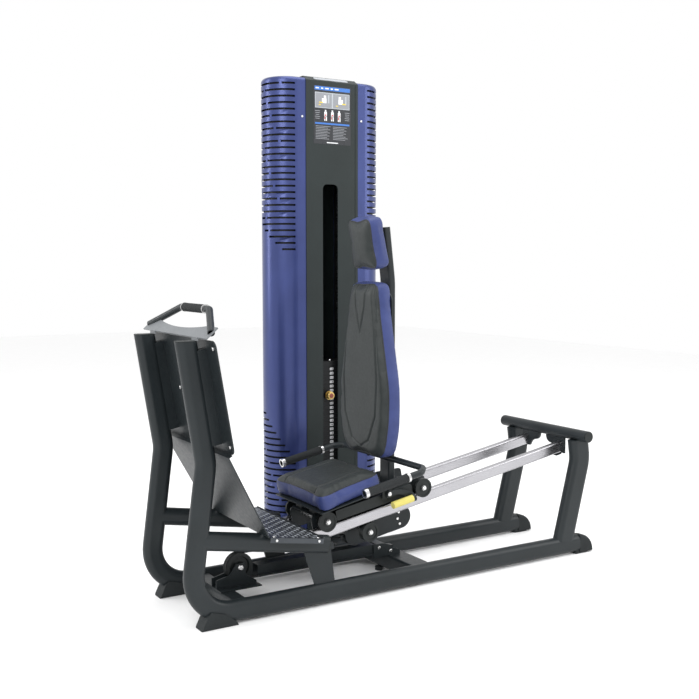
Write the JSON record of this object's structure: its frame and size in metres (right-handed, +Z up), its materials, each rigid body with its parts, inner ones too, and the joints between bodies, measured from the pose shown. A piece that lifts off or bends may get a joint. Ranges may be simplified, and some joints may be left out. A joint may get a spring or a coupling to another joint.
{
  "type": "leg press machine",
  "caption": "Selectorised leg press: padded seat rolls on sloping rails away from a fixed foot plate and lifts a weight stack in a louvred tower.",
  "frame": {"origin": "On the floor, under the centre of the machine's bounding box.", "axes": "+X runs up the rails from the foot plate towards the rear legs, +Y from the bench towards the weight tower, +Z up."},
  "size_m": [1.9089, 1.023, 2.045],
  "materials": {
    "frame_paint": "satin charcoal powder coat",
    "shroud_blue": "satin metallic blue coat",
    "panel_dark": "fine matte dark panel",
    "black_plastic": "moulded black plastic",
    "rubber_black": "textured black rubber",
    "rail_chrome": "polished chrome with fine wear",
    "bright_steel": "bright plated steel",
    "handle_grey": "light grey satin coat",
    "tread_plate": "dark diamond tread plate",
    "foam_grip": "ribbed black foam",
    "stack_black": "satin black weight plates",
    "placard_print": "printed exercise placard",
    "badge_light": "light badge strip",
    "belt_grey": "pale translucent band",
    "cable_black": "coated steel cable",
    "lever_yellow": "yellow lever sleeve",
    "pin_gold": "brass-coloured pin head",
    "upholstery": "black and blue synthetic leather"
  },
  "bodies": {
    "frame": {"side_frame_left": "frame_paint", "side_frame_right": "frame_paint", "tube_plugs": "black_plastic", "rear_end_caps": "rubber_black", "rubber_pads": "rubber_black", "rear_legs": "frame_paint", "rail_crossbar": "frame_paint", "crossbeams": "frame_paint", "guide_rail_left": "rail_chrome", "guide_rail_right": "rail_chrome", "frame_brackets": "frame_paint", "step_tubes": "frame_paint", "foot_plate": "frame_paint", "toe_panel": "frame_paint", "step_plate": "tread_plate", "frame_screws": "bright_steel", "handle_tube": "frame_paint", "handle_bracket": "handle_grey", "handle_grip": "foam_grip", "drive_brackets": "frame_paint", "pulley_pins": "bright_steel", "cable": "cable_black", "sled_strand": "cable_black", "shroud_front": "shroud_blue", "shroud_rear": "shroud_blue", "front_panel": "panel_dark", "top_and_back_panel": "panel_dark", "placard": "placard_print", "top_badge": "badge_light", "tower_inner_frame": "frame_paint", "guide_rods": "rail_chrome", "resting_plates": "stack_black"},
    "weight_stack": {"lifted_plates": "stack_black", "selector_stem": "bright_steel", "stack_strand": "cable_black"},
    "selector": {"selector_pin": "pin_gold"},
    "sled": {"sled_beam": "frame_paint", "sled_band": "belt_grey", "sled_fittings": "frame_paint", "sled_bolts": "bright_steel"},
    "sled_rollers": {"lower_rollers": "black_plastic"},
    "carriage": {"carriage_plates": "frame_paint", "carriage_bolts": "bright_steel", "side_beams": "black_plastic", "seat_base": "frame_paint", "spine": "frame_paint", "back_brackets": "frame_paint", "grip_tube": "frame_paint", "seat_grips": "foam_grip", "seat_cushion": "upholstery", "back_cushion": "upholstery", "head_cushion": "upholstery"},
    "front_wheel_pair": {"front_wheels": "black_plastic"},
    "rear_wheel_pair": {"rear_wheels": "black_plastic"},
    "adjust_lever": {"lever_arm": "frame_paint", "lever_grip": "lever_yellow"},
    "front_pulley_body": {"front_pulley": "black_plastic"},
    "turning_pulley_body": {"turning_pulley": "black_plastic"},
    "low_pulley_body": {"tower_low_pulley": "black_plastic"},
    "top_pulley_body": {"tower_top_pulley": "black_plastic"}
  },
  "joints": [
    {"name": "sled_slide", "type": "slide", "parent": "frame", "child": "sled", "axis": [0.9844, 0, 0.1757], "range_m": [0, 0.45], "deforming": ["sled_strand"]},
    {"name": "seat_adjust", "type": "slide", "parent": "sled", "child": "carriage", "axis": [0.9844, 0, 0.1757], "range_m": [0, 0.2]},
    {"name": "stack_lift", "type": "slide", "parent": "frame", "child": "weight_stack", "axis": [0, 0, 1], "range_m": [0, 0.45], "deforming": ["stack_strand"]},
    {"name": "selector_pull", "type": "slide", "parent": "weight_stack", "child": "selector", "axis": [0, -1, 0], "range_m": [0, 0.07]},
    {"name": "front_wheel_roll", "type": "hinge", "parent": "carriage", "child": "front_wheel_pair", "pos_m": [-0.33422, -0.173, 0.28541], "axis": [0, 1, 0], "continuous": true},
    {"name": "rear_wheel_roll", "type": "hinge", "parent": "carriage", "child": "rear_wheel_pair", "pos_m": [0.10378, -0.173, 0.36359], "axis": [0, 1, 0], "continuous": true},
    {"name": "sled_roller_roll", "type": "hinge", "parent": "sled", "child": "sled_rollers", "pos_m": [-0.13927, -0.173, 0.21649], "axis": [0, 1, 0], "continuous": true},
    {"name": "adjust_lever_turn", "type": "hinge", "parent": "carriage", "child": "adjust_lever", "pos_m": [-0.067, -0.173, 0.362], "axis": [0, -1, 0], "range_deg": [0, 18], "stiffness_Nm_per_rad": 3, "springref_deg": -8.59},
    {"name": "front_pulley_turn", "type": "hinge", "parent": "frame", "child": "front_pulley_body", "pos_m": [-0.646, -0.181, 0.135], "axis": [0, 1, 0], "continuous": true},
    {"name": "turning_pulley_turn", "type": "hinge", "parent": "frame", "child": "turning_pulley_body", "pos_m": [-0.008, -0.141, 0.087], "axis": [0, 0, 1], "continuous": true},
    {"name": "low_pulley_turn", "type": "hinge", "parent": "frame", "child": "low_pulley_body", "pos_m": [0.032, 0.43, 0.132], "axis": [1, 0, 0], "continuous": true},
    {"name": "top_pulley_turn", "type": "hinge", "parent": "frame", "child": "top_pulley_body", "pos_m": [0.032, 0.43, 1.885], "axis": [1, 0, 0], "continuous": true}
  ],
  "couplings": [
    {"joint": "stack_lift", "follows": "sled_slide", "ratio": 1},
    {"joint": "front_wheel_roll", "follows": "sled_slide", "rad_per_m": 55.556},
    {"joint": "rear_wheel_roll", "follows": "sled_slide", "rad_per_m": 55.556},
    {"joint": "sled_roller_roll", "follows": "sled_slide", "rad_per_m": -26.667},
    {"joint": "front_pulley_turn", "follows": "sled_slide", "rad_per_m": 20.833},
    {"joint": "turning_pulley_turn", "follows": "sled_slide", "rad_per_m": -25},
    {"joint": "low_pulley_turn", "follows": "sled_slide", "rad_per_m": -22.222},
    {"joint": "top_pulley_turn", "follows": "sled_slide", "rad_per_m": 22.222}
  ]
}
